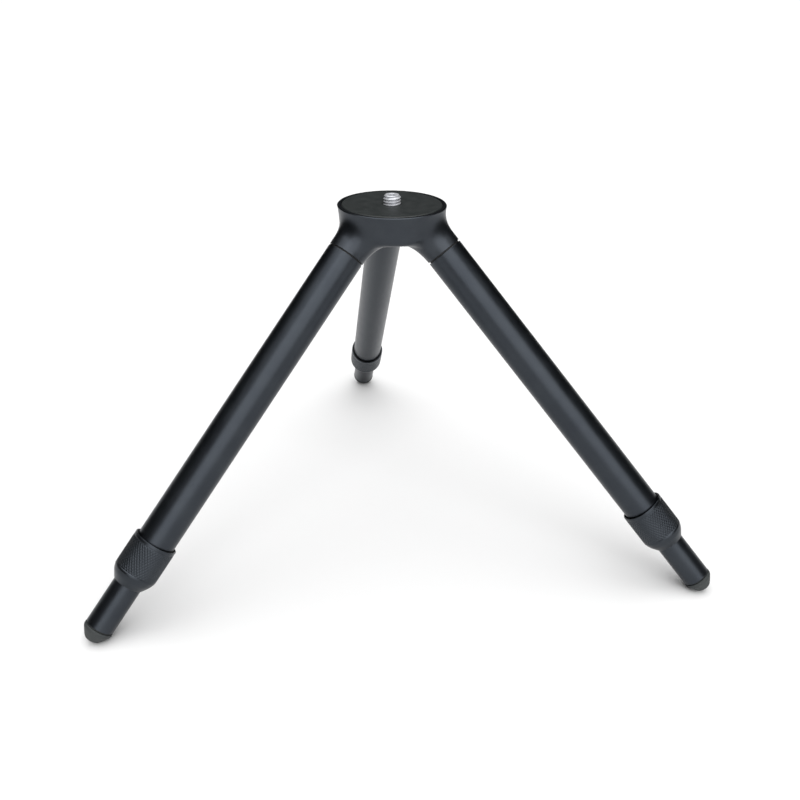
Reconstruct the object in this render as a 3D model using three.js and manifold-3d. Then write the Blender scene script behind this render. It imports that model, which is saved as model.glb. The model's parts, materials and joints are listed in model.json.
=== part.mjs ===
// A compact tabletop tripod: a round hub with a 3/8 inch stud, and three legs at a fixed spread.
// Each leg screws into the hub and holds a telescoping lower tube, locked by a knurled collar.
// Millimetres, +Z up. The origin is on the floor, under the middle of the tripod's bounding box,
// and the rear leg runs along +Y.
import * as THREE from "three";
import { mergeVertices } from "three/addons/utils/BufferGeometryUtils.js";
import Module from "manifold-3d";

const wasm = await Module();
wasm.setup();

// ---- Driving dimensions -------------------------------------------------------------------
// The hub is drawn from the middle of its top face, with heights that go down from there.
const DISC_RADIUS = 30;
const HUB_DEPTH = 16.5; // the disc and its skirt, between the legs
const SKIRT_EDGE = 2.6; // radius of the rounded edge under the skirt
const RIM_WIDTH = 2;
const RIM_CHAMFER = 0.5;
const PAD_GAP = 0.3; // between the pad and the rim around it
const PAD_RECESS = 2.2;
const PAD_PROUD = 0.2;
const COUNTERBORE_RADIUS = 9;
const COUNTERBORE_TOP = -8.5;

// A stub for each leg swells towards the disc.
const STUB_TOP_AT = 17; // the swollen end, inside the disc
const STUB_STRAIGHT = 3; // the length next to the seam that stays round
const STUB_SWELL = 9;
const STUB_SWELL_POWER = 2.2;

// 3/8 inch, 16 threads to the inch.
const STUD_RADIUS = 9.525 / 2;
const STUD_HEIGHT = 5.1; // above the disc
const STUD_TIP_CHAMFER = 0.8;
const STUD_CLEARANCE = 0.3;
const TIP_SOCKET = 4; // across flats
const TIP_SOCKET_DEPTH = 2.5;
const HEAD_RADIUS = 8;
const HEAD_HEIGHT = 4;
const HEAD_SOCKET = 6;
const HEAD_SOCKET_DEPTH = 3;
const SCREW_WASHER_THICKNESS = 1;

// The leg axes meet on the hub's axis, above the disc. Distances down a leg start there.
const LEG_AZIMUTHS = { rear: 90, left: 210, right: 330 };
const LEG_ANGLE = 43; // from the vertical
const APEX_ABOVE_DISC = 10.34;
const SEAM_AT = 45.7; // the joint between the hub's stub and the upper tube
const COLLAR_AT = 228.8;
const COLLAR_SHOULDER_AT = 248.6;
const COLLAR_END_AT = 255.5;
const FOOT_SEAM_AT = 282.6;

const TUBE_RADIUS = 10.4;
const TUBE_WALL = 1;
const LOWER_RADIUS = 7.8;
const LOWER_WALL = 1.2;
const COLLAR_RADIUS = 12;
const FOOT_RADIUS = 7.95;

const SEAM_WASHER = 0.4; // thickness
const SPIGOT_RADIUS = 5; // M10 x 1.5
const SPIGOT_LENGTH = 12;
const SPIGOT_CHAMFER = 0.8;
const SOCKET_SPARE = 2; // depth of the hub's socket below the spigot's tip
const PLUG_LENGTH = 15.6; // the part of the spigot that is bonded inside the tube
const UPPER_END_AT = 236; // the upper tube ends inside the collar
const FERRULE_AT = 222;
const FERRULE_END_AT = 246;
const COLLET_END_AT = 250.9;
const COLLET_CONE_AT = 248.2;
const COLLET_SLIT = 1.4;
const COLLAR_LIP = 0.7; // wall thickness at the collar's open end
const COLLAR_CHAMFER = 0.4;
const COLLAR_EDGE = 0.7; // wall left at the end of the collar's cone
const SEAL_DEPTH = 3.5;
const LOWER_TOP_AT = 90; // leaves room for the lower tube to slide in
const BUSH_LENGTH = 14;
const BUSH_LIP = 0.8;
const FOOT_GROOVE = 0.5; // between the lower tube and the rubber foot
const FOOT_STEM_RADIUS = 3;
const FOOT_STEM_LENGTH = 11;

const GAP = 0.3; // between faces that touch
const FIT = 0.15; // between nested tubes, and on each side of the seam washer
const LEG_SIDES = 24;
const HUB_SIDES = 48;
const SMALL_SIDES = 18;

const BORE = TUBE_RADIUS - TUBE_WALL;
const LOWER_BORE = LOWER_RADIUS - LOWER_WALL;
const STUB_END_AT = SEAM_AT - SEAM_WASHER / 2 - FIT;
const TUBE_TOP_AT = SEAM_AT + SEAM_WASHER / 2 + FIT;
const LOWER_END_AT = FOOT_SEAM_AT - FOOT_GROOVE / 2;

// ---- Materials ----------------------------------------------------------------------------
function finish(colour, roughness, metalness) {
  return () => new THREE.MeshStandardMaterial({ color: colour, roughness, metalness });
}

const anodised = finish(0x2e3238, 0.45, 0.6);
const blackMetal = finish(0x1b1d20, 0.5, 0.6);
const bareAluminium = finish(0x9fa3a8, 0.4, 0.9);
const steel = finish(0xc4c6c9, 0.25, 1);
const padRubber = finish(0x23272a, 0.8, 0);
const footRubber = finish(0x303336, 0.85, 0);
const nylon = finish(0x17181a, 0.55, 0);

// ---- Geometry helpers ---------------------------------------------------------------------
const radians = THREE.MathUtils.degToRad;

// A solid of revolution about +Z, from an outline of [radius, height] points.
// The outline either starts and ends on the axis, or closes on itself.
function turned(outline, sides = LEG_SIDES) {
  const points = outline.map(([r, z]) => new THREE.Vector2(r, z));
  if (THREE.ShapeUtils.area(points) < 0) points.reverse();
  if (points[0].x > 0) points.push(points[0].clone());
  return new THREE.LatheGeometry(points, sides).rotateX(Math.PI / 2);
}

// A tube or ring between two heights.
function ring(inner, outer, from, to, sides = LEG_SIDES) {
  return turned([[inner, from], [outer, from], [outer, to], [inner, to]], sides);
}

function cylinder(radius, from, to, sides = LEG_SIDES) {
  return turned([[0, from], [radius, from], [radius, to], [0, to]], sides);
}

function hexagon(acrossFlats, from, to) {
  return cylinder(acrossFlats / Math.sqrt(3), from, to, 6);
}

// Points along a circular arc in an outline, from one angle to another, both ends included.
function arc(r, z, radius, fromAngle, toAngle, steps) {
  return Array.from({ length: steps + 1 }, (_, i) => {
    const a = radians(fromAngle + ((toAngle - fromAngle) * i) / steps);
    return [r + radius * Math.cos(a), z + radius * Math.sin(a)];
  });
}

function solidOf(geometry) {
  const bare = geometry.index ? geometry.toNonIndexed() : geometry.clone();
  bare.deleteAttribute("normal");
  bare.deleteAttribute("uv");
  const merged = mergeVertices(bare, 1e-4);
  const corners = merged.index.array;
  const kept = [];
  for (let i = 0; i < corners.length; i += 3) {
    const [a, b, c] = corners.subarray(i, i + 3);
    if (a !== b && b !== c && c !== a) kept.push(a, b, c);
  }
  return new wasm.Manifold(
    new wasm.Mesh({
      numProp: 3,
      vertProperties: merged.getAttribute("position").array,
      triVerts: new Uint32Array(kept),
    }),
  );
}

function geometryOf(solid) {
  const mesh = solid.getMesh();
  const geometry = new THREE.BufferGeometry();
  geometry.setAttribute("position", new THREE.BufferAttribute(mesh.vertProperties, mesh.numProp));
  geometry.setIndex(new THREE.BufferAttribute(mesh.triVerts, 1));
  geometry.computeVertexNormals();
  return geometry;
}

function piece(name, geometry, material) {
  const mesh = new THREE.Mesh(geometry, material());
  mesh.name = name;
  return mesh;
}

// The frame of a leg: its origin is where the leg axes meet, and its +Z runs down the leg.
function legFrame(azimuth) {
  const turn = new THREE.Group();
  turn.position.z = APEX_ABOVE_DISC;
  turn.rotation.z = radians(azimuth);
  const leg = new THREE.Group();
  leg.rotation.y = Math.PI - radians(LEG_ANGLE);
  turn.add(leg);
  return { turn, leg };
}

function alongLeg(geometry, azimuth) {
  const { turn, leg } = legFrame(azimuth);
  turn.updateMatrixWorld(true);
  return geometry.clone().applyMatrix4(leg.matrixWorld);
}

// ---- Hub ----------------------------------------------------------------------------------
// The disc with its slightly hollow side, the recess for the pad, and the bore for the stud.
function hubDisc() {
  const recess = DISC_RADIUS - RIM_WIDTH;
  const bore = STUD_RADIUS + STUD_CLEARANCE;
  return turned(
    [
      [bore, -PAD_RECESS],
      [recess, -PAD_RECESS],
      [recess, 0],
      [DISC_RADIUS - RIM_CHAMFER, 0],
      [DISC_RADIUS, -RIM_CHAMFER],
      [DISC_RADIUS - 0.6, -3],
      [DISC_RADIUS - 1.3, -7],
      [DISC_RADIUS - 2.4, -11],
      ...arc(DISC_RADIUS - 5.6, SKIRT_EDGE - HUB_DEPTH, SKIRT_EDGE, 0, -90, 3),
      [COUNTERBORE_RADIUS, -HUB_DEPTH],
      [COUNTERBORE_RADIUS, COUNTERBORE_TOP],
      [bore, COUNTERBORE_TOP],
    ],
    HUB_SIDES,
  );
}

// A stub that swells towards the disc. It stays straight along its upper side and grows
// sideways and underneath, which makes the arch between two legs.
function hubStub() {
  const swellFrom = STUB_END_AT - STUB_STRAIGHT;
  const swellAt = (z) => {
    const share = Math.max(0, (z - swellFrom) / (STUB_TOP_AT - swellFrom));
    return STUB_SWELL * share ** STUB_SWELL_POWER;
  };
  const steps = 7;
  const outline = [[0, STUB_END_AT], [TUBE_RADIUS, STUB_END_AT]];
  for (let i = 0; i <= steps; i++) {
    const z = swellFrom + ((STUB_TOP_AT - swellFrom) * i) / steps;
    outline.push([TUBE_RADIUS + swellAt(z), z]);
  }
  outline.push([0, STUB_TOP_AT]);
  const geometry = turned(outline);
  const at = geometry.getAttribute("position");
  for (let i = 0; i < at.count; i++) at.setX(i, at.getX(i) + swellAt(at.getZ(i)));
  return geometry;
}

// The space that the stubs may fill: under the disc's top plate, and clear of the counterbore.
function stubSpace() {
  const far = 60;
  const plate = -4;
  return turned(
    [[COUNTERBORE_RADIUS, plate], [DISC_RADIUS - 1.2, plate], [far, -9], [far, -far],
      [COUNTERBORE_RADIUS, -far]],
    HUB_SIDES,
  );
}

function hubBody() {
  const azimuths = Object.values(LEG_AZIMUTHS);
  const space = solidOf(stubSpace());
  let body = solidOf(hubDisc());
  for (const azimuth of azimuths) {
    body = body.add(solidOf(alongLeg(hubStub(), azimuth)).intersect(space));
  }
  const floor = SEAM_AT - SPIGOT_LENGTH - SOCKET_SPARE;
  const socket = cylinder(SPIGOT_RADIUS + GAP, floor, SEAM_AT + SOCKET_SPARE, SMALL_SIDES);
  for (const azimuth of azimuths) body = body.subtract(solidOf(alongLeg(socket, azimuth)));
  return geometryOf(body);
}

function topPad() {
  const outer = DISC_RADIUS - RIM_WIDTH - PAD_GAP;
  const inner = STUD_RADIUS + 2 * STUD_CLEARANCE;
  const bottom = GAP - PAD_RECESS;
  const bevel = 0.3;
  return turned(
    [[inner, bottom], [outer, bottom], [outer, PAD_PROUD - bevel], [outer - bevel, PAD_PROUD],
      [inner, PAD_PROUD]],
    HUB_SIDES,
  );
}

// The stud stands up through the disc, with its head in the counterbore and a socket in its tip.
function mountingScrew() {
  const headTop = COUNTERBORE_TOP - SCREW_WASHER_THICKNESS - 2 * GAP;
  const headBottom = headTop - HEAD_HEIGHT;
  const bevel = 0.5;
  const body = solidOf(
    turned([
      [0, headBottom],
      [HEAD_RADIUS - bevel, headBottom],
      [HEAD_RADIUS, headBottom + bevel],
      [HEAD_RADIUS, headTop],
      [STUD_RADIUS, headTop],
      [STUD_RADIUS, STUD_HEIGHT - STUD_TIP_CHAMFER],
      [STUD_RADIUS - STUD_TIP_CHAMFER, STUD_HEIGHT],
      [0, STUD_HEIGHT],
    ]),
  );
  const tipSocket = hexagon(TIP_SOCKET, STUD_HEIGHT - TIP_SOCKET_DEPTH, STUD_HEIGHT + 1);
  const headSocket = hexagon(HEAD_SOCKET, headBottom - 1, headBottom + HEAD_SOCKET_DEPTH);
  return geometryOf(body.subtract(solidOf(tipSocket)).subtract(solidOf(headSocket)));
}

function screwWasher() {
  const top = COUNTERBORE_TOP - GAP;
  return ring(STUD_RADIUS + STUD_CLEARANCE, HEAD_RADIUS + 0.4, top - SCREW_WASHER_THICKNESS, top);
}

// ---- One leg, drawn down its own axis -----------------------------------------------------
// The ring that fills the seam between hub and tube, a little below their surface.
function seamWasher() {
  const recess = 0.4;
  return ring(
    SPIGOT_RADIUS + GAP,
    TUBE_RADIUS - recess,
    SEAM_AT - SEAM_WASHER / 2,
    SEAM_AT + SEAM_WASHER / 2,
  );
}

// The threaded spigot of the leg, with the plug that is bonded inside the tube.
function spigot() {
  const tip = SEAM_AT - SPIGOT_LENGTH;
  return turned([
    [0, tip],
    [SPIGOT_RADIUS - SPIGOT_CHAMFER, tip],
    [SPIGOT_RADIUS, tip + SPIGOT_CHAMFER],
    [SPIGOT_RADIUS, TUBE_TOP_AT],
    [BORE - FIT, TUBE_TOP_AT],
    [BORE - FIT, TUBE_TOP_AT + PLUG_LENGTH],
    [0, TUBE_TOP_AT + PLUG_LENGTH],
  ]);
}

function upperTube() {
  return ring(BORE, TUBE_RADIUS, TUBE_TOP_AT, UPPER_END_AT);
}

// Bonded inside the end of the upper tube. The collar turns on its thread, below the tube,
// and the collet's sleeve stands in its wider lower bore.
function threadedFerrule() {
  const bore = LOWER_RADIUS + 0.25;
  const colletBore = BORE - 0.1;
  const thread = TUBE_RADIUS - 0.05;
  const shoulder = UPPER_END_AT + GAP;
  return turned([
    [bore, FERRULE_AT],
    [BORE - FIT, FERRULE_AT],
    [BORE - FIT, shoulder],
    [thread, shoulder],
    [thread, FERRULE_END_AT],
    [colletBore, FERRULE_END_AT],
    [colletBore, UPPER_END_AT],
    [bore, UPPER_END_AT],
  ]);
}

// The knurled sleeve. Its upper lip stands clear of the tube and holds the seal, and its lower
// end is a cone that squeezes the collet.
function lockCollar() {
  const lip = COLLAR_RADIUS - COLLAR_LIP;
  const thread = TUBE_RADIUS + FIT;
  const mouth = LOWER_RADIUS + GAP;
  const coneDepth = 1.9; // from the collar's end to where its inner cone starts
  const coneLength = 5.3;
  return turned([
    [lip, COLLAR_AT],
    [COLLAR_RADIUS - COLLAR_CHAMFER, COLLAR_AT],
    [COLLAR_RADIUS, COLLAR_AT + COLLAR_CHAMFER],
    [COLLAR_RADIUS, COLLAR_SHOULDER_AT],
    [COLLAR_RADIUS - 0.9, COLLAR_SHOULDER_AT + 2.7],
    [LOWER_RADIUS + COLLAR_EDGE, COLLAR_END_AT],
    [mouth, COLLAR_END_AT],
    [mouth, COLLAR_END_AT - coneDepth],
    [thread, COLLAR_END_AT - coneDepth - coneLength],
    [thread, COLLAR_AT + SEAL_DEPTH],
    [lip, COLLAR_AT + SEAL_DEPTH],
  ]);
}

function collarSeal() {
  const outer = COLLAR_RADIUS - COLLAR_LIP - FIT;
  return ring(TUBE_RADIUS + FIT, outer, COLLAR_AT + 2 * GAP, COLLAR_AT + SEAL_DEPTH - GAP);
}

// A split bush whose conical head the collar presses onto the lower tube.
function collet() {
  const bore = LOWER_RADIUS + FIT;
  const sleeve = BORE - 0.25;
  const head = TUBE_RADIUS - 0.2;
  const from = UPPER_END_AT + GAP;
  const shoulder = FERRULE_END_AT + GAP;
  const body = turned([
    [bore, from],
    [sleeve, from],
    [sleeve, shoulder],
    [head, shoulder],
    [head, COLLET_CONE_AT],
    [sleeve, COLLET_END_AT],
    [bore, COLLET_END_AT],
  ]);
  const reach = 12;
  const slit = new THREE.BoxGeometry(reach, COLLET_SLIT, 2 * (COLLET_END_AT - from));
  slit.translate(reach / 2, 0, (from + COLLET_END_AT) / 2);
  return geometryOf(solidOf(body).subtract(solidOf(slit)));
}

function lowerTube() {
  return ring(LOWER_BORE, LOWER_RADIUS, LOWER_TOP_AT, LOWER_END_AT);
}

// Caps the upper end of the lower tube, runs in the upper tube, and stops against the ferrule.
function guideBush() {
  const lip = LOWER_TOP_AT - FIT;
  const top = lip - BUSH_LIP;
  const outer = BORE - 0.2;
  return turned([
    [LOWER_BORE, top],
    [outer, top],
    [outer, top + BUSH_LENGTH],
    [LOWER_RADIUS + FIT, top + BUSH_LENGTH],
    [LOWER_RADIUS + FIT, lip],
    [LOWER_BORE, lip],
  ]);
}

function footInsert() {
  const from = FOOT_SEAM_AT - FOOT_STEM_LENGTH - 1;
  return ring(FOOT_STEM_RADIUS + FIT, LOWER_BORE - FIT, from, LOWER_END_AT, SMALL_SIDES);
}

// The rubber tip: a short band, a cone and a dome, on a stem that is pressed into the insert.
function rubberFoot() {
  const stem = FOOT_SEAM_AT - FOOT_STEM_LENGTH;
  const top = FOOT_SEAM_AT + FOOT_GROOVE / 2;
  return turned([
    [0, stem],
    [FOOT_STEM_RADIUS, stem],
    [FOOT_STEM_RADIUS, top],
    [FOOT_RADIUS - 0.2, top],
    [FOOT_RADIUS, top + 0.3],
    [FOOT_RADIUS, top + 1.6],
    [5.2, top + 5.8],
    [4, top + 7.2],
    [2.5, top + 7.8],
    [0, top + 8.3],
  ]);
}

const LEG_PIECES = [
  ["seam_washer", seamWasher, nylon],
  ["leg_spigot", spigot, bareAluminium],
  ["upper_tube", upperTube, anodised],
  ["threaded_ferrule", threadedFerrule, blackMetal],
  ["lock_collar", lockCollar, anodised],
  ["collar_seal", collarSeal, nylon],
  ["collet", collet, nylon],
  ["lower_tube", lowerTube, anodised],
  ["guide_bush", guideBush, nylon],
  ["foot_insert", footInsert, blackMetal],
  ["rubber_foot", rubberFoot, footRubber],
];

function makeLeg(side, azimuth) {
  const { turn, leg } = legFrame(azimuth);
  for (const [name, shape, material] of LEG_PIECES) {
    leg.add(piece(`${side}_${name}`, shape(), material));
  }
  return turn;
}

function makeHub() {
  const hub = new THREE.Group();
  hub.add(
    piece("hub_body", hubBody(), anodised),
    piece("top_pad", topPad(), padRubber),
    piece("mounting_screw", mountingScrew(), steel),
    piece("screw_washer", screwWasher(), steel),
  );
  return hub;
}

// ---- The tripod, stood on the floor -------------------------------------------------------
const tripod = new THREE.Group();
tripod.add(makeHub());
for (const [side, azimuth] of Object.entries(LEG_AZIMUTHS)) tripod.add(makeLeg(side, azimuth));
tripod.updateMatrixWorld(true);

const box = new THREE.Box3().setFromObject(tripod, true);
const middle = box.getCenter(new THREE.Vector3());
tripod.position.set(-middle.x, -middle.y, -box.min.z);

const root = new THREE.Group();
root.add(tripod);

export default root;
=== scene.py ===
"""Looks for a compact tabletop tripod: hub, screw-in legs, twist-lock collars and rubber feet.

Outlines are drawn in millimetres, in the hub's own frame or in a leg's own frame, and placed
in the shared frame in metres. Sizes that the CAD model sets are read from its nodes.
"""

import json
import math
from collections import namedtuple

import bmesh
import bpy
import numpy as np
from mathutils import Matrix, Vector


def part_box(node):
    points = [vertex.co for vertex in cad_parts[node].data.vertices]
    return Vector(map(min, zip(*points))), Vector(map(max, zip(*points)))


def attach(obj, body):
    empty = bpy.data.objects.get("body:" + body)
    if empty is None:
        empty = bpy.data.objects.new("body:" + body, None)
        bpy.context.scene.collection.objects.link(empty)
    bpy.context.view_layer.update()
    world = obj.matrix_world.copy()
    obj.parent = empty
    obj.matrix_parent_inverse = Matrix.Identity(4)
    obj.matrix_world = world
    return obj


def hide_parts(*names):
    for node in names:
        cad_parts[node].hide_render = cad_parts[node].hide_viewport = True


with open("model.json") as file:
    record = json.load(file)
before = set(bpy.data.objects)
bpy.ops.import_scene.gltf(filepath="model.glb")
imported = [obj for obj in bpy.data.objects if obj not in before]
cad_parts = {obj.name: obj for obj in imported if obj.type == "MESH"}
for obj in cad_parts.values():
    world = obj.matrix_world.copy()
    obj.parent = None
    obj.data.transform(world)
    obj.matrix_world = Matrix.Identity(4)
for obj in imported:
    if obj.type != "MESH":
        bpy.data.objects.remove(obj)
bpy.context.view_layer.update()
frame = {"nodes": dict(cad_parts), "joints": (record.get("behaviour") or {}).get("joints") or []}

MM = 0.001
SIDES = ("rear", "left", "right")
ROUND = 96  # sides of an ordinary turned piece
EASE = 0.22  # rounding of a machined corner
SHARP_ANGLE = 32  # degrees between faces, above which an edge is shaded as sharp
MERGE = 1e-4  # corners closer than this many millimetres are one
M10_PITCH = 1.5
UNC_PITCH = 25.4 / 16
JOINTS = {joint["name"]: joint for joint in frame["joints"]}


# ---- Frames and measures taken from the CAD nodes ------------------------------------------
def place_along(origin, axis):
    """The matrix from millimetres, with +Z along axis, to the shared frame's metres."""
    down = Vector(axis).normalized()
    across = Vector((0, 0, 1)).cross(down)
    across = across.normalized() if across.length > 1e-6 else Vector((0, 1, 0))
    turn = Matrix((across.cross(down), across, down)).transposed()
    return Matrix.Translation(Vector(origin)) @ turn.to_4x4() @ Matrix.Scale(MM, 4)


def points_of(node, place):
    """A CAD node's corners in the millimetres of the given frame."""
    back = place.inverted()
    return np.array([back @ v.co for v in frame["nodes"][node].data.vertices])


Span = namedtuple("Span", "start end inner outer")


def span(node, place):
    """Where a node lies along its frame's axis, and its smallest and largest radius."""
    points = points_of(node, place)
    radius = np.hypot(points[:, 0], points[:, 1])
    return Span(points[:, 2].min(), points[:, 2].max(), radius.min(), radius.max())


screw_low, screw_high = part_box("mounting_screw")
hub_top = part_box("hub_body")[1].z
HUB = Matrix.Translation(
    ((screw_low.x + screw_high.x) / 2, (screw_low.y + screw_high.y) / 2, hub_top)
) @ Matrix.Scale(MM, 4)
LEGS = {
    side: place_along(JOINTS[f"{side}_unscrew"]["pos_m"], JOINTS[f"{side}_unscrew"]["axis"])
    for side in SIDES
}


def leg_span(piece):
    return span(f"rear_{piece}", LEGS["rear"])


# ---- Surfaces ------------------------------------------------------------------------------
def eased(outline, ease=EASE, steps=3):
    """A closed outline of (radius, height[, ease]) with its corners off the axis rounded.

    The roundings are quadratic curves. A rounding takes less than half of an edge, and an
    ease of 0 keeps a corner sharp.
    """
    most = 0.45  # share of an edge that one rounding may take
    hold = 1.4  # times the rounding, where an extra point keeps the face next to it flat
    corners = [Vector(p[:2]) for p in outline]
    made = []
    for i, corner in enumerate(corners):
        back = corners[i - 1] - corner
        ahead = corners[(i + 1) % len(corners)] - corner
        limit = outline[i][2] if len(outline[i]) > 2 else ease
        cut = min(limit, most * back.length, most * ahead.length)
        if corner.x < 1e-6 or cut < 1e-3 or (-back).angle(ahead) < math.radians(8):
            made.append(tuple(corner))
            continue
        a = corner + back.normalized() * cut
        b = corner + ahead.normalized() * cut
        if most * back.length > 1.5 * cut:
            made.append(tuple(corner + back.normalized() * hold * cut))
        for k in range(steps + 1):
            u = k / steps
            point = a * (1 - u) ** 2 + corner * 2 * u * (1 - u) + b * u**2
            made.append(tuple(point))
        if most * ahead.length > 1.5 * cut:
            made.append(tuple(corner + ahead.normalized() * hold * cut))
    return made


def around(radius, angle, height):
    """Points at the given angles. The radius may differ from one to the next."""
    x, y = radius * np.cos(angle), radius * np.sin(angle)
    return np.column_stack((x, y, np.full(len(angle), height)))


def circle(radius, height, sides=ROUND):
    return around(radius, np.linspace(0, 2 * math.pi, sides, endpoint=False), height)


def hexagon(across_flats, height):
    """A ring of points round a hexagon, at the same angles as a circle's."""
    angle = np.linspace(0, 2 * math.pi, ROUND, endpoint=False)
    sixth = math.pi / 3
    return around(across_flats / 2 / np.cos((angle % sixth) - sixth / 2), angle, height)


def skin(rings, closed=False):
    """Quads between neighbouring rings of points. Rings of one size share their angles."""
    sides = len(rings[0])
    faces = []
    count = len(rings)
    for i in range(count if closed else count - 1):
        a, b = i * sides, ((i + 1) % count) * sides
        for k in range(sides):
            n = (k + 1) % sides
            faces.append((a + k, a + n, b + n, b + k))
    return np.concatenate(rings), faces


def turned(outline, sides=ROUND):
    """A solid of revolution about +Z. The outline closes on itself, or has its ends on the axis."""
    return skin([circle(r, z, sides) for r, z in outline], closed=True)


def ring(inner, outer, start, end, ease):
    """The outline of a tube or washer."""
    return eased([(inner, start), (outer, start), (outer, end), (inner, end)], ease)


def plain_ring(size, ease):
    """A turned tube or washer that is as long and as wide as its CAD node."""
    return turned(ring(size.inner, size.outer, size.start, size.end, ease))


def split_ring(outline, gap):
    """A turned ring with a slit of the given angle, and flat faces at the slit."""
    angle = np.linspace(gap / 2, 2 * math.pi - gap / 2, ROUND)
    count = len(outline)
    points = [(r * math.cos(a), r * math.sin(a), z) for a in angle for r, z in outline]
    faces = [tuple(range(count)), tuple(range(count * (ROUND - 1), count * ROUND))]
    for i in range(ROUND - 1):
        for k in range(count):
            n = (k + 1) % count
            faces.append((i * count + k, i * count + n, (i + 1) * count + n, (i + 1) * count + k))
    return np.array(points), faces


THREAD_DEPTH = 0.61  # of a 60 degree thread, as a share of the pitch
ROOT_RELIEF = 0.1  # how far a thread's neck lies below its root
THREAD_FORM = [  # share of a turn, and depth below the crest as a share of the pitch
    (0.0, 0.08), (0.05, 0.015), (0.1, 0.0), (0.15, 0.015), (0.2, 0.08),
    (0.46, 0.56), (0.54, THREAD_DEPTH), (0.66, THREAD_DEPTH), (0.74, 0.56),
]


def threaded(radius, pitch, low, high, neck):
    """A helical thread, open at both ends, between two circles of radius neck.

    Its rows follow the helix, and run out onto the circles. The neck lies below the root.
    """
    form = [(phase, radius - depth * pitch) for phase, depth in THREAD_FORM]
    rows = len(form)
    first = -rows
    last = rows * (math.ceil((high - low) / pitch) + 1)
    points = []
    for k in range(first, last + 1):
        turn, (phase, thread) = k // rows, form[k % rows]
        for i in range(ROUND):
            z = low + pitch * (turn + phase + i / ROUND)
            z = min(max(z, low), high)
            r = min(thread, neck + (z - low), neck + (high - z))
            a = 2 * math.pi * i / ROUND
            points.append((r * math.cos(a), r * math.sin(a), z))
    faces = []
    for k in range(last - first):
        for i in range(ROUND - 1):
            a = k * ROUND + i
            faces.append((a, a + 1, a + ROUND + 1, a + ROUND))
    for k in range(last - first - rows):  # a turn's end joins the next turn's start
        a, b = k * ROUND + ROUND - 1, (k + rows) * ROUND
        faces.append((a, b, b + ROUND, a + ROUND))
    return np.array(points), faces


def joined(*surfaces):
    """Several surfaces as one."""
    points, faces, offset = [], [], 0
    for p, f in surfaces:
        points.append(p)
        faces += [tuple(c + offset for c in face) for face in f]
        offset += len(p)
    return np.concatenate(points), faces


BISECTIONS = 12  # halvings that find where a grid edge crosses the surface
PULL_TO_MIDDLE = 0.02  # keeps a corner near its crossings where their planes are nearly parallel
SLOPE_REACH = 1e-3  # millimetres to each side, for a normal


def crossings(distance, grid, value, axis, step):
    """The grid edges along an axis that cross the surface.

    Gives each edge's index, whether it starts inside the shape, and where it crosses.
    """
    near, far = [slice(None)] * 3, [slice(None)] * 3
    near[axis], far[axis] = slice(None, -1), slice(1, None)
    inside = value < 0
    index = np.argwhere(inside[tuple(near)] != inside[tuple(far)])
    index = index[(index > 0).all(1)]
    starts_inside = inside[tuple(index.T)]
    start = grid[tuple(index.T)]
    low, high = np.zeros(len(index)), np.ones(len(index))
    for _ in range(BISECTIONS):
        share = (low + high) / 2
        point = start.copy()
        point[:, axis] += share * step
        same = (distance(point) < 0) == starts_inside
        low, high = np.where(same, share, low), np.where(same, high, share)
    return index, starts_inside, point


def meeting_points(cell, point, normal, step):
    """The cells that hold crossings, and in each the point where its crossings' planes meet."""
    used, where = np.unique(cell, return_inverse=True)
    count = np.bincount(where)
    middle = np.stack([np.bincount(where, point[:, k]) for k in range(3)], 1) / count[:, None]
    offset = (normal * (point - middle[where])).sum(1)
    matrix = np.empty((len(used), 3, 3))
    right = np.empty((len(used), 3))
    for i in range(3):
        right[:, i] = np.bincount(where, normal[:, i] * offset)
        for k in range(3):
            matrix[:, i, k] = np.bincount(where, normal[:, i] * normal[:, k])
    matrix += PULL_TO_MIDDLE * np.eye(3)
    move = np.linalg.solve(matrix, right[..., None])[..., 0]
    return used, middle + np.clip(move, -step, step)


def contour(distance, low, high, step):
    """The surface where distance(points) is zero, as quads, with its sharp edges kept.

    Each grid cell that the surface crosses gets one corner, placed where the planes found on
    the cell's edges meet. Each crossing edge gets a quad between its four cells' corners.
    """
    axes = [np.arange(a - step, b + 2 * step, step) for a, b in zip(low, high)]
    shape = tuple(len(a) for a in axes)
    grid = np.stack(np.meshgrid(*axes, indexing="ij"), -1)
    value = distance(grid.reshape(-1, 3)).reshape(shape)
    cell, point, normal, quads = [], [], [], []
    for axis in range(3):
        index, starts_inside, crossing = crossings(distance, grid, value, axis, step)
        u, v = [np.eye(3, dtype=int)[(axis + k) % 3] for k in (1, 2)]
        corners = [index, index - u, index - u - v, index - v]
        ids = np.stack([np.ravel_multi_index(c.T, shape) for c in corners], 1)
        cell += list(ids.T)
        point += [crossing] * 4
        normal += [slope(distance, crossing)] * 4
        quads.append(np.where(starts_inside[:, None], ids, ids[:, ::-1]))
    cell, point, normal = (np.concatenate(part) for part in (cell, point, normal))
    used, placed = meeting_points(cell, point, normal, step)
    lookup = np.full(int(np.prod(shape)), -1)
    lookup[used] = np.arange(len(used))
    return placed, lookup[np.concatenate(quads)].tolist()


def slope(distance, points):
    """Unit normals of the distance's surfaces at these points."""
    parts = []
    for reach in SLOPE_REACH * np.eye(3):
        parts.append(distance(points + reach) - distance(points - reach))
    gradient = np.stack(parts, 1)
    return gradient / np.maximum(np.linalg.norm(gradient, axis=1), 1e-12)[:, None]


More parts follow.
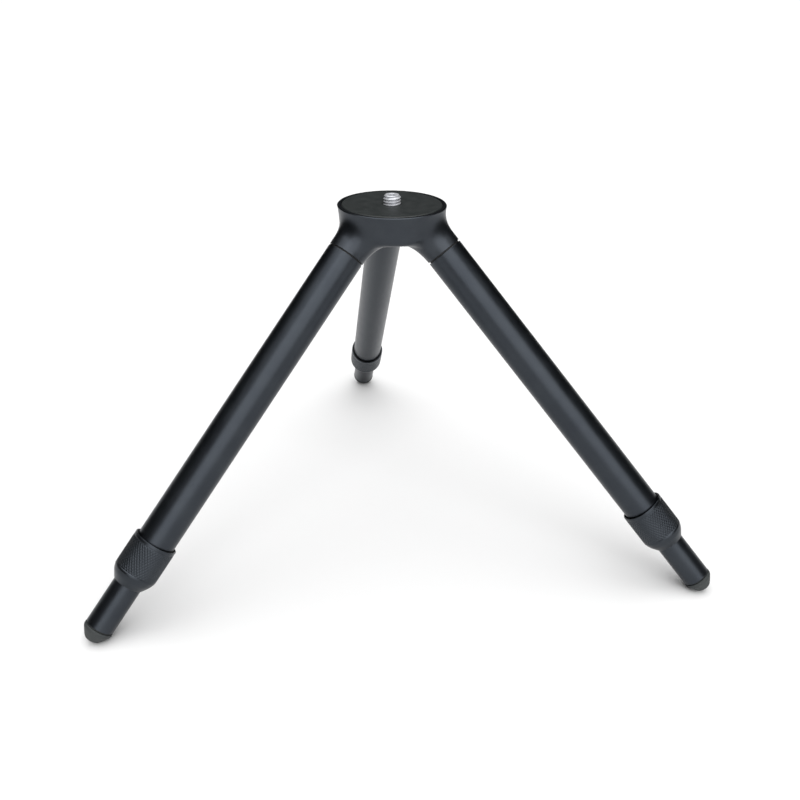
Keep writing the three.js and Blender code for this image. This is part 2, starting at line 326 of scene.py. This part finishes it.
def piece(name, surface, place, body, nodes, slot, material):
    """Makes the mesh, places it, puts it on the body it rides on, and hides the nodes it stands
    for.
    """
    points, faces = surface
    mesh = bpy.data.meshes.new(name)
    mesh.from_pydata(points.tolist(), [], faces)
    shape = bmesh.new()
    shape.from_mesh(mesh)
    bmesh.ops.remove_doubles(shape, verts=shape.verts, dist=MERGE)
    bmesh.ops.dissolve_degenerate(shape, edges=shape.edges, dist=MERGE / 10)
    crossed = [edge for edge in shape.edges if len(edge.link_faces) > 2]
    bmesh.ops.collapse(shape, edges=crossed)
    bmesh.ops.recalc_face_normals(shape, faces=shape.faces)
    shape.to_mesh(mesh)
    shape.free()
    local = mesh.attributes.new("local", "FLOAT_VECTOR", "POINT")
    co = np.empty(3 * len(mesh.vertices), np.float32)
    mesh.vertices.foreach_get("co", co)
    local.data.foreach_set("vector", co * MM)
    mesh.transform(place)
    mesh.shade_smooth()
    mesh.set_sharp_from_angle(angle=math.radians(SHARP_ANGLE))
    mesh.materials.append(material)
    made = bpy.data.objects.new(name, mesh)
    bpy.context.scene.collection.objects.link(made)
    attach(made, body)
    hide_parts(*nodes)
    return made


# ---- Materials -----------------------------------------------------------------------------
def shader(name):
    """A new material's tree, its shader, and a socket with the piece's own coordinates."""
    made = bpy.data.materials.new(name)
    made.use_nodes = True
    tree = made.node_tree
    local = tree.nodes.new("ShaderNodeAttribute")
    local.attribute_name = "local"
    return made, tree, tree.nodes["Principled BSDF"], local.outputs["Vector"]


def noise(tree, vector, grain, stretch=(1, 1, 1), detail=4.0):
    """Noise with grains of about that many millimetres, drawn out along an axis by stretch."""
    mapping = tree.nodes.new("ShaderNodeMapping")
    mapping.inputs["Scale"].default_value = [1 / (MM * grain * s) for s in stretch]
    texture = tree.nodes.new("ShaderNodeTexNoise")
    texture.inputs["Scale"].default_value = 1
    texture.inputs["Detail"].default_value = detail
    tree.links.new(vector, mapping.inputs["Vector"])
    tree.links.new(mapping.outputs["Vector"], texture.inputs["Vector"])
    return texture.outputs["Fac"]


def spread(tree, value, low, high, share=(0.3, 0.7)):
    """Maps the middle of a noise to a range."""
    ranged = tree.nodes.new("ShaderNodeMapRange")
    ranged.inputs["From Min"].default_value, ranged.inputs["From Max"].default_value = share
    ranged.inputs["To Min"].default_value, ranged.inputs["To Max"].default_value = low, high
    tree.links.new(value, ranged.inputs["Value"])
    return ranged.outputs["Result"]


def between(tree, share, low, high):
    """A colour between two, by share."""
    mix = tree.nodes.new("ShaderNodeMix")
    mix.data_type = "RGBA"
    mix.inputs["A"].default_value = (*low, 1)
    mix.inputs["B"].default_value = (*high, 1)
    tree.links.new(share, mix.inputs["Factor"])
    return mix.outputs["Result"]


def total(tree, *values):
    """The weighted sum of (value, weight) pairs."""
    summed = None
    for value, weight in values:
        step = tree.nodes.new("ShaderNodeMath")
        step.operation = "MULTIPLY_ADD"
        step.inputs[1].default_value = weight
        step.inputs[2].default_value = 0
        tree.links.new(value, step.inputs[0])
        if summed is not None:
            tree.links.new(summed, step.inputs[2])
        summed = step.outputs["Value"]
    return summed


def bump(tree, height, depth):
    """A normal from heights from 0 to 1, depth millimetres apart."""
    node = tree.nodes.new("ShaderNodeBump")
    node.inputs["Strength"].default_value = 1
    node.inputs["Distance"].default_value = depth * MM
    tree.links.new(height, node.inputs["Height"])
    return node.outputs["Normal"]


def anodised(name, dark, light, roughness, grain, drawn=1.0):
    """Satin anodised aluminium: a fine blasted grain, cloudy dye, and faint lines along the draw.

    Drawn is how strong the lines are, 1 for a drawn tube.
    """
    made, tree, bsdf, local = shader(name)
    cloud = noise(tree, local, 14)
    lines = noise(tree, local, 0.35, (1, 1, 120 * drawn), 2)
    blast = noise(tree, local, grain, detail=2)
    rubbed = noise(tree, local, 3, (1, 1, 1 + drawn), 6)
    tint = total(tree, (cloud, 0.6), (blast, 0.4))
    tree.links.new(
        between(tree, spread(tree, tint, 0, 1, (0.35, 0.65)), dark, light),
        bsdf.inputs["Base Color"],
    )
    gloss = total(tree, (cloud, 0.4), (rubbed, 0.35), (lines, 0.25))
    tree.links.new(
        spread(tree, gloss, roughness - 0.05, roughness + 0.05), bsdf.inputs["Roughness"]
    )
    height = total(tree, (blast, 0.7), (lines, 0.3 * drawn))
    tree.links.new(bump(tree, height, 0.004), bsdf.inputs["Normal"])
    bsdf.inputs["Metallic"].default_value = 1
    return made


def machined(name, dark, light, roughness, line=0.12, metallic=1.0):
    """Turned bare metal, with fine rings round its axis."""
    made, tree, bsdf, local = shader(name)
    rings = noise(tree, local, line, (60, 60, 1), 2)
    smear = noise(tree, local, 1.5)
    tree.links.new(between(tree, spread(tree, smear, 0, 1), dark, light), bsdf.inputs["Base Color"])
    gloss = total(tree, (rings, 0.6), (smear, 0.4))
    tree.links.new(
        spread(tree, gloss, roughness - 0.08, roughness + 0.08), bsdf.inputs["Roughness"]
    )
    tree.links.new(bump(tree, rings, 0.003), bsdf.inputs["Normal"])
    bsdf.inputs["Metallic"].default_value = metallic
    return made


def moulded(name, dark, light, roughness, grain, depth):
    """Rubber or nylon with a moulded grain, a little dust and uneven gloss."""
    made, tree, bsdf, local = shader(name)
    fine = noise(tree, local, grain, detail=3)
    patch = noise(tree, local, 6)
    tint = total(tree, (fine, 0.5), (patch, 0.5))
    tree.links.new(between(tree, spread(tree, tint, 0, 1), dark, light), bsdf.inputs["Base Color"])
    tree.links.new(
        spread(tree, patch, roughness - 0.07, roughness + 0.07), bsdf.inputs["Roughness"]
    )
    tree.links.new(bump(tree, fine, depth), bsdf.inputs["Normal"])
    return made


UNDRAWN = 0.01  # a machined piece, with hardly any lines along its axis
METAL = {
    "hub": anodised(
        "hub_anodised", (0.043, 0.048, 0.056), (0.053, 0.059, 0.067), 0.38, 0.18, UNDRAWN
    ),
    "tube": anodised("tube_anodised", (0.038, 0.043, 0.051), (0.046, 0.052, 0.060), 0.36, 0.14),
    "collar": anodised(
        "collar_anodised", (0.038, 0.043, 0.050), (0.048, 0.054, 0.062), 0.36, 0.2, UNDRAWN
    ),
    "black": anodised("black_metal", (0.012, 0.012, 0.014), (0.02, 0.02, 0.022), 0.4, 0.2, UNDRAWN),
    "bare": machined("bare_aluminium", (0.55, 0.56, 0.58), (0.68, 0.69, 0.7), 0.32),
    "steel": machined("steel", (0.50, 0.51, 0.54), (0.60, 0.61, 0.64), 0.5, 0.08, 0.55),
}
SOFT = {
    "pad": moulded("pad_rubber", (0.011, 0.014, 0.014), (0.015, 0.018, 0.018), 0.5, 0.3, 0.01),
    "foot": moulded("foot_rubber", (0.020, 0.024, 0.024), (0.030, 0.034, 0.035), 0.7, 0.4, 0.02),
    "seal": moulded("seal_rubber", (0.003, 0.003, 0.003), (0.006, 0.006, 0.006), 0.75, 0.3, 0.02),
    "nylon": moulded("nylon", (0.004, 0.004, 0.005), (0.008, 0.008, 0.009), 0.7, 0.5, 0.01),
}


# ---- Hub -----------------------------------------------------------------------------------
hub_points = points_of("hub_body", HUB)
hub_radius = np.hypot(hub_points[:, 0], hub_points[:, 1])
on_top = hub_points[:, 2] > -1
RIM = hub_radius[on_top].max()
RECESS = hub_radius[np.abs(hub_points[:, 2]) < 1e-3].min()
PAD = span("top_pad", HUB)
SCREW = span("mounting_screw", HUB)
SCREW_WASHER = span("screw_washer", HUB)
screw_points = points_of("mounting_screw", HUB)
STUD = np.hypot(screw_points[:, 0], screw_points[:, 1])[screw_points[:, 2] > 0].max()
HEAD_TOP = screw_points[:, 2][screw_points[:, 2] < SCREW_WASHER.start].max()
TUBE = leg_span("upper_tube")
WASHER = leg_span("seam_washer")
SPIGOT = leg_span("leg_spigot")
SEAM_GAP = TUBE.start - WASHER.end

RECESS_DEPTH = 2.2
SKIRT_DEPTH = 16.5
HOLLOW = 1.4  # how far the side draws in below the rim
HOLLOW_LENGTH = 6.0
SKIRT_EDGE = 5.0  # rounding between the side and the underside
SOCKET = 5.3  # radius of the holes that the spigots screw into
SOCKET_SPARE = 2.0  # beyond the spigot's end
COUNTERBORE = 9.0  # radius, for the screw's head
SCREW_CLEARANCE = 0.3
STUB_INNER_END = -28.0  # where a stub ends inside the disc, from the leg's origin
HUB_STEP = 0.55  # grid size
BLEND_OUTSIDE = 5.5  # how far the disc and a stub melt together, along the stub's outer side
BLEND_INSIDE = 13.5  # and on its inner side, which makes the arch between two legs
BLEND_TURN = (-0.3, 0.9)  # where one gives way to the other, in tube radii towards the inner side
RIM_BEVEL = 0.4
PAD_BEVEL = 0.5
SEAM_WIDEN = 0.2  # how much shorter the stubs are than in the CAD model
TIP_HEXAGON, HEAD_HEXAGON = 4.0, 6.0  # across flats of the screw's two sockets


def smooth_min(a, b, reach):
    """The smaller of two distances, rounded where they are within reach of each other."""
    h = np.maximum(reach - np.abs(a - b), 0) / reach
    return np.minimum(a, b) - h * h * reach / 4


def ramp(x, low, high):
    """0 below low and 1 above high, with a smooth rise between them."""
    x = np.clip((x - low) / (high - low), 0, 1)
    return x * x * (3 - 2 * x)


def leg_axes():
    """Each leg's origin and direction in the hub's millimetres."""
    back = HUB.inverted()
    for side in SIDES:
        origin = back @ LEGS[side].translation
        down = (back @ (LEGS[side] @ Vector((0, 0, 1))) - origin).normalized()
        yield np.array(origin), np.array(down)


LEG_AXES = list(leg_axes())


def hub_distance(p):
    """How far points lie outside the hub: a hollow-sided disc blended into three stubs."""
    r, z = np.hypot(p[:, 0], p[:, 1]), p[:, 2]
    below = np.minimum(z + RIM_BEVEL, 0)
    side = r - (RIM - HOLLOW * (1 - np.exp(below / HOLLOW_LENGTH)))
    body = -smooth_min(-side, z + SKIRT_DEPTH, SKIRT_EDGE)
    sockets = []
    for origin, down in LEG_AXES:
        t = (p - origin) @ down
        off = np.linalg.norm(p - origin - t[:, None] * down, axis=1)
        end = WASHER.start - SEAM_GAP - SEAM_WIDEN
        stub = np.maximum(off - TUBE.outer, t - end)
        stub = np.maximum(stub, STUB_INNER_END - t)
        inward = np.array((-down[0], -down[1], 0)) / np.hypot(down[0], down[1])
        inner = inward - (inward @ down) * down
        share = ramp((p - origin) @ inner / np.linalg.norm(inner) / TUBE.outer, *BLEND_TURN)
        body = smooth_min(body, stub, BLEND_OUTSIDE + (BLEND_INSIDE - BLEND_OUTSIDE) * share)
        sockets.append(np.minimum(SOCKET - off, t - SPIGOT.start + SOCKET_SPARE))
    body = np.maximum(body, z)
    body = np.maximum(body, (r + z - RIM + RIM_BEVEL) * math.sqrt(0.5))
    body = np.maximum(body, np.minimum(RECESS - r, z + RECESS_DEPTH))
    body = np.maximum(body, STUD + SCREW_CLEARANCE - r)
    body = np.maximum(body, np.minimum(COUNTERBORE - r, SCREW_WASHER.end + SCREW_CLEARANCE - z))
    for socket in sockets:
        body = np.maximum(body, socket)
    return body


def make_hub():
    surface = contour(hub_distance, hub_points.min(0) - 1, hub_points.max(0) + 1, HUB_STEP)
    piece("hub", surface, HUB, "hub", ["hub_body"], "hub_anodised", METAL["hub"])


def make_pad():
    """The rubber pad, with a small chamfer round its edge and round the screw."""
    hole = STUD + 0.2
    outline = [
        (hole, PAD.start),
        (PAD.outer, PAD.start, 0.1),
        (PAD.outer, PAD.end - PAD_BEVEL, 0.08),
        (PAD.outer - PAD_BEVEL, PAD.end, 0.08),
        (hole, PAD.end, 0.15),
    ]
    surface = turned(eased(outline), 2 * ROUND)
    piece("pad", surface, HUB, "hub", ["top_pad"], "pad_rubber", SOFT["pad"])


def make_screw():
    """The stud with its thread, a hexagon socket in its tip, and its head under the disc."""
    neck = STUD - THREAD_DEPTH * UNC_PITCH - ROOT_RELIEF
    thread_start = HEAD_TOP + 1
    stud = threaded(STUD, UNC_PITCH, thread_start, SCREW.end, neck)
    top = SCREW.end
    tip = [
        circle(neck, top),
        circle(neck - 0.12, top),
        circle(TIP_HEXAGON / 2 + 0.5, top),
        hexagon(TIP_HEXAGON, top - 0.25),
        hexagon(TIP_HEXAGON, top - 2.4),
        circle(1.2, top - 2.5),
        circle(0, top - 2.9),
    ]
    rim = [
        (neck + 0.4, HEAD_TOP, 0.05),
        (SCREW.outer, HEAD_TOP, 0.4),
        (SCREW.outer, SCREW.start, 0.6),
        (HEAD_HEXAGON / 2 + 0.9, SCREW.start, 0.05),
    ]
    head = [
        circle(neck, thread_start),
        circle(neck, HEAD_TOP + 0.2),
        circle(neck + 0.2, HEAD_TOP),
        *[circle(r, z) for r, z in eased(rim)],
        hexagon(HEAD_HEXAGON, SCREW.start + 0.4),
        hexagon(HEAD_HEXAGON, SCREW.start + 3),
        circle(2, SCREW.start + 3.1),
        circle(0, SCREW.start + 3.6),
    ]
    surface = joined(stud, skin(tip), skin(head))
    piece("screw", surface, HUB, "hub", ["mounting_screw"], "steel", METAL["steel"])
    washer = plain_ring(SCREW_WASHER, 0.15)
    piece("screw_washer", washer, HUB, "hub", ["screw_washer"], "steel", METAL["steel"])


# ---- Legs ----------------------------------------------------------------------------------
COLLAR = leg_span("lock_collar")
SEAL = leg_span("collar_seal")
FERRULE = leg_span("threaded_ferrule")
COLLET = leg_span("collet")
LOWER = leg_span("lower_tube")
BUSH = leg_span("guide_bush")
INSERT = leg_span("foot_insert")
FOOT = leg_span("rubber_foot")

KNURLS = 44  # diamonds round the collar
KNURL_STEPS = 6  # samples across a diamond
KNURL_SIDES = KNURLS * KNURL_STEPS
KNURL_LENGTH = 2.5  # of one diamond, down the leg
KNURL_DEPTH = 0.19
KNURL_FLAT = 0.6  # share of the full pyramid that is left
KNURL_START = 1.9  # from the collar's open end
KNURL_ROWS = 41  # of samples
LIP_STEP = 0.04  # how far the collar's plain parts lie below the knurl's flats
SHOULDER = 19.8  # from the collar's open end to where it starts to narrow
CONE = (7.2, 1.9)  # where the collar's inner cone starts and ends, from the nose's end
COLLET_CONE = 2.7  # length of the collet's cone
COLLET_SLIT = 1.4  # its width at the collet's outside

FIT = 0.15  # between nested pieces
GAP = 0.3  # between faces that touch
SEAM_DEPTH = 0.4  # how much further in the washer lies than in the CAD model
FOOT_GAP = 0.75  # the groove between a lower tube and its foot
TUBE_BEVEL = 0.18
M10_RADIUS = 5.0
FERRULE_PITCH = 1.0
SLEEVE = TUBE.inner - 0.25  # the collet's sleeve


def lathed(points, sides=ROUND):
    """An open surface of revolution, or a solid where its ends are on the axis."""
    return skin([circle(r, z, sides) for r, z in points])


def seam_washer():
    """Fills the gap that the CAD model leaves on each side, so that no light comes through."""
    reach = SEAM_GAP - 0.02
    start = WASHER.start - reach - SEAM_WIDEN
    outer = WASHER.outer - SEAM_DEPTH
    return turned(ring(WASHER.inner, outer, start, WASHER.end + reach, 0.1))


def leg_spigot():
    """The leg's M10 thread, with a relief under its shoulder, on a plug inside the tube."""
    neck = M10_RADIUS - THREAD_DEPTH * M10_PITCH - ROOT_RELIEF
    relief = TUBE.start - 1.2
    plug = SPIGOT.outer
    thread = threaded(M10_RADIUS, M10_PITCH, SPIGOT.start, relief, neck)
    tip = lathed([(0, SPIGOT.start), (neck, SPIGOT.start)])
    body = [(neck, relief), (neck, TUBE.start), (plug - 0.4, TUBE.start), (plug, TUBE.start + 0.4),
            (plug, TUBE.start + 0.8), (plug, SPIGOT.end - 1), (plug, SPIGOT.end - 0.6),
            (plug - 0.6, SPIGOT.end), (0, SPIGOT.end)]
    return joined(thread, tip, lathed(body))


def upper_tube():
    return plain_ring(TUBE, TUBE_BEVEL)


def threaded_ferrule():
    """Bonded in the tube's end. The collar turns on its thread."""
    shoulder = TUBE.end + GAP
    neck = FERRULE.outer - THREAD_DEPTH * FERRULE_PITCH - ROOT_RELIEF
    wide = SLEEVE + FIT
    sleeve = TUBE.inner - FIT
    thread = threaded(FERRULE.outer, FERRULE_PITCH, shoulder, FERRULE.end, neck)
    rest = [(neck, FERRULE.end), (wide, FERRULE.end), (wide, TUBE.end), (FERRULE.inner, TUBE.end),
            (FERRULE.inner, FERRULE.start), (sleeve, FERRULE.start), (sleeve, shoulder),
            (neck, shoulder)]
    return joined(thread, lathed(rest))


def knurl_height(column, row):
    """0 in a groove and 1 on a flat, with grooves along both diagonals."""
    def wave(step):
        share = (step % KNURL_STEPS) / KNURL_STEPS
        return 1 - abs(2 * share - 1)

    low = min(wave(column + row), wave(column - row))
    return min(low, KNURL_FLAT) / KNURL_FLAT


def knurled(radius, start):
    """The band of diamond knurling: open rows of points, and triangles split along the grooves."""
    sides, points = KNURL_SIDES, []
    for row in range(KNURL_ROWS):
        z = start + row * KNURL_LENGTH / KNURL_STEPS
        for column in range(sides):
            edge = row in (0, KNURL_ROWS - 1)
            r = radius - KNURL_DEPTH * (1 if edge else 1 - knurl_height(column, row))
            a = 2 * math.pi * column / sides
            points.append((r * math.cos(a), r * math.sin(a), z))
    faces = []
    for row in range(KNURL_ROWS - 1):
        for column in range(sides):
            a, b = row * sides + column, row * sides + (column + 1) % sides
            c, d = b + sides, a + sides
            if (column + 1 + row) % KNURL_STEPS == 0:
                faces += [(a, b, d), (b, c, d)]
            elif (column - row) % KNURL_STEPS == 0:
                faces += [(a, b, c), (a, c, d)]
            else:
                faces.append((a, b, c, d))
    return np.array(points), faces


def lock_collar():
    """The twist lock: a knurled sleeve with a plain lip, and a rounded cone at its lower end."""
    start, end = COLLAR.start, COLLAR.end
    knurl = start + KNURL_START
    knurl_end = knurl + (KNURL_ROWS - 1) * KNURL_LENGTH / KNURL_STEPS
    shoulder = start + SHOULDER
    groove = COLLAR.outer - KNURL_DEPTH
    lip = SEAL.outer + FIT
    thread = SEAL.inner
    mouth = COLLAR.inner
    seat = SEAL.end + GAP
    outer = COLLAR.outer - LIP_STEP
    above = eased([(thread, seat + 2, 0), (thread, seat), (lip, seat), (lip, start, 0.15),
                   (outer, start, 0.3), (outer, knurl - 0.25, 0.08), (groove, knurl, 0)])
    nose = LOWER.outer + 0.6
    below = [(groove, knurl_end, 0), (outer, knurl_end + 0.3), (outer, shoulder, 2.0),
             (outer - 0.9, shoulder + 2.7, 2.0), (nose, end, 0.3),
             (mouth, end, 0.15), (mouth, end - CONE[1]), (thread, end - CONE[0]),
             (thread, seat + 2, 0)]
    below = eased(below, steps=6)
    band = knurled(COLLAR.outer, knurl)
    return joined(lathed(above, KNURL_SIDES), band, lathed(below, KNURL_SIDES))


def collar_seal():
    return plain_ring(SEAL, 0.2)


def collet():
    """A split bush with a conical head."""
    head = TUBE.outer - 0.2
    shoulder = FERRULE.end + GAP
    outline = [(COLLET.inner, COLLET.start), (SLEEVE, COLLET.start), (SLEEVE, shoulder),
               (head, shoulder), (head, COLLET.end - COLLET_CONE), (SLEEVE, COLLET.end),
               (COLLET.inner, COLLET.end)]
    return split_ring(eased(outline, 0.15), COLLET_SLIT / COLLET.outer)


def lower_tube():
    return plain_ring(LOWER, TUBE_BEVEL)


def guide_bush():
    """Caps the lower tube's hidden end and runs in the upper tube."""
    lip = LOWER.start - FIT
    bore = LOWER.outer + FIT
    outline = [(BUSH.inner, BUSH.start), (BUSH.outer, BUSH.start, 0.5), (BUSH.outer, BUSH.end, 0.5),
               (bore, BUSH.end), (bore, lip), (BUSH.inner, lip)]
    return turned(eased(outline, 0.12))


def foot_insert():
    return plain_ring(INSERT, 0.15)


def rubber_foot():
    """A stem, a neck against the tube's end, a short band, a cone and a dome, with soft edges."""
    stem = INSERT.inner - FIT
    neck = LOWER.outer - 0.9
    seat = LOWER.end + 0.05
    top = LOWER.end + FOOT_GAP
    outline = [(0, FOOT.start), (stem, FOOT.start, 0.4), (stem, seat, 0.05), (neck, seat, 0.05),
               (neck, top, 0.05), (FOOT.outer, top, 0.35),
               (FOOT.outer, top + 1.7, 0.9), (5.2, top + 5.8, 0.9), (4.0, top + 7.2, 0.6),
               (2.5, top + 7.85, 0.6), (0, FOOT.end)]
    return lathed(eased(outline, steps=5))


LEG_PIECES = [
    (seam_washer, "washer", "nylon", SOFT["nylon"]),
    (leg_spigot, "leg", "bare_aluminium", METAL["bare"]),
    (upper_tube, "leg", "tube_anodised", METAL["tube"]),
    (threaded_ferrule, "leg", "black_metal", METAL["black"]),
    (collet, "leg", "nylon", SOFT["nylon"]),
    (lock_collar, "lock", "collar_anodised", METAL["collar"]),
    (collar_seal, "lock", "seal_rubber", SOFT["seal"]),
    (lower_tube, "extension", "tube_anodised", METAL["tube"]),
    (guide_bush, "extension", "nylon", SOFT["nylon"]),
    (foot_insert, "extension", "black_metal", METAL["black"]),
    (rubber_foot, "extension", "foot_rubber", SOFT["foot"]),
]


def make_legs():
    for shape, body, slot, material in LEG_PIECES:
        surface = shape()
        for side in SIDES:
            name = f"{side}_{shape.__name__}"
            piece(f"{name}_look", surface, LEGS[side], f"{side}_{body}", [name], slot, material)


# ---- Studio --------------------------------------------------------------------------------
WORLD_ON_PIECES, WORLD_SEEN = 0.015, 1.05  # the world's strength as a light, and to the camera


def make_floor():
    """A plain pale floor, 12 m across."""
    mesh = bpy.data.meshes.new("floor")
    reach = 6.0
    corners = [(-reach, -reach, 0), (reach, -reach, 0), (reach, reach, 0), (-reach, reach, 0)]
    mesh.from_pydata(corners, [], [(0, 1, 2, 3)])
    floor = bpy.data.objects.new("floor", mesh)
    bpy.context.scene.collection.objects.link(floor)
    made, _, bsdf, _ = shader("floor")
    bsdf.inputs["Base Color"].default_value = (0.8, 0.8, 0.8, 1)
    bsdf.inputs["Roughness"].default_value = 0.9
    bsdf.inputs["Specular IOR Level"].default_value = 0.1
    mesh.materials.append(made)


def sun(name, azimuth, elevation, strength, spread_angle):
    """A soft light from far away. Azimuth 0 shines from behind the camera, 90 from the right."""
    lamp = bpy.data.lights.new(name, "SUN")
    lamp.energy = strength
    lamp.angle = math.radians(spread_angle)
    made = bpy.data.objects.new(name, lamp)
    a, e = math.radians(azimuth), math.radians(elevation)
    towards = Vector((math.sin(a) * math.cos(e), -math.cos(a) * math.cos(e), math.sin(e)))
    made.rotation_euler = towards.to_track_quat("Z", "Y").to_euler()
    bpy.context.scene.collection.objects.link(made)


def make_light():
    """Two soft lights, and a world that is white to the camera and nearly black to the pieces."""
    sun("overhead", 0, 85, 3.4, 80)
    sun("front", 5, 24, 2.3, 70)
    world = bpy.data.worlds.new("studio")
    world.use_nodes = True
    tree = world.node_tree
    ray = tree.nodes.new("ShaderNodeLightPath")
    ranged = tree.nodes.new("ShaderNodeMapRange")
    ranged.inputs["To Min"].default_value = WORLD_ON_PIECES
    ranged.inputs["To Max"].default_value = WORLD_SEEN
    tree.links.new(ray.outputs["Is Camera Ray"], ranged.inputs["Value"])
    tree.links.new(ranged.outputs["Result"], tree.nodes["Background"].inputs["Strength"])
    tree.nodes["Background"].inputs["Color"].default_value = (1, 1, 1, 1)
    bpy.context.scene.world = world
    bpy.context.scene.view_settings.view_transform = "Standard"


CAMERA_OFFSET = (-0.05642, -0.45554, 0.11979)  # from the middle of the disc's top
CAMERA_YAW, CAMERA_PITCH, CAMERA_ROLL = 8.47, -27.99, 0.912
CAMERA_LENS = 38.02
CAMERA_SHIFT = (-0.0119, 0.0058)


def make_camera():
    yaw, pitch, roll = (math.radians(v) for v in (CAMERA_YAW, CAMERA_PITCH, CAMERA_ROLL))
    level = math.cos(pitch)
    ahead = Vector((math.sin(yaw) * level, math.cos(yaw) * level, math.sin(pitch)))
    right = Vector((math.cos(yaw), -math.sin(yaw), 0))
    up = right.cross(ahead)
    turned_right = right * math.cos(roll) + up * math.sin(roll)
    turned_up = up * math.cos(roll) - right * math.sin(roll)
    data = bpy.data.cameras.new("camera")
    data.lens = CAMERA_LENS
    data.sensor_width = 36
    data.shift_x, data.shift_y = CAMERA_SHIFT
    camera = bpy.data.objects.new("camera", data)
    turn = Matrix((turned_right, turned_up, -ahead)).transposed().to_4x4()
    camera.matrix_world = Matrix.Translation(HUB.translation + Vector(CAMERA_OFFSET)) @ turn
    bpy.context.scene.collection.objects.link(camera)
    bpy.context.scene.camera = camera


make_hub()
make_pad()
make_screw()
make_legs()
make_floor()
make_light()
make_camera()
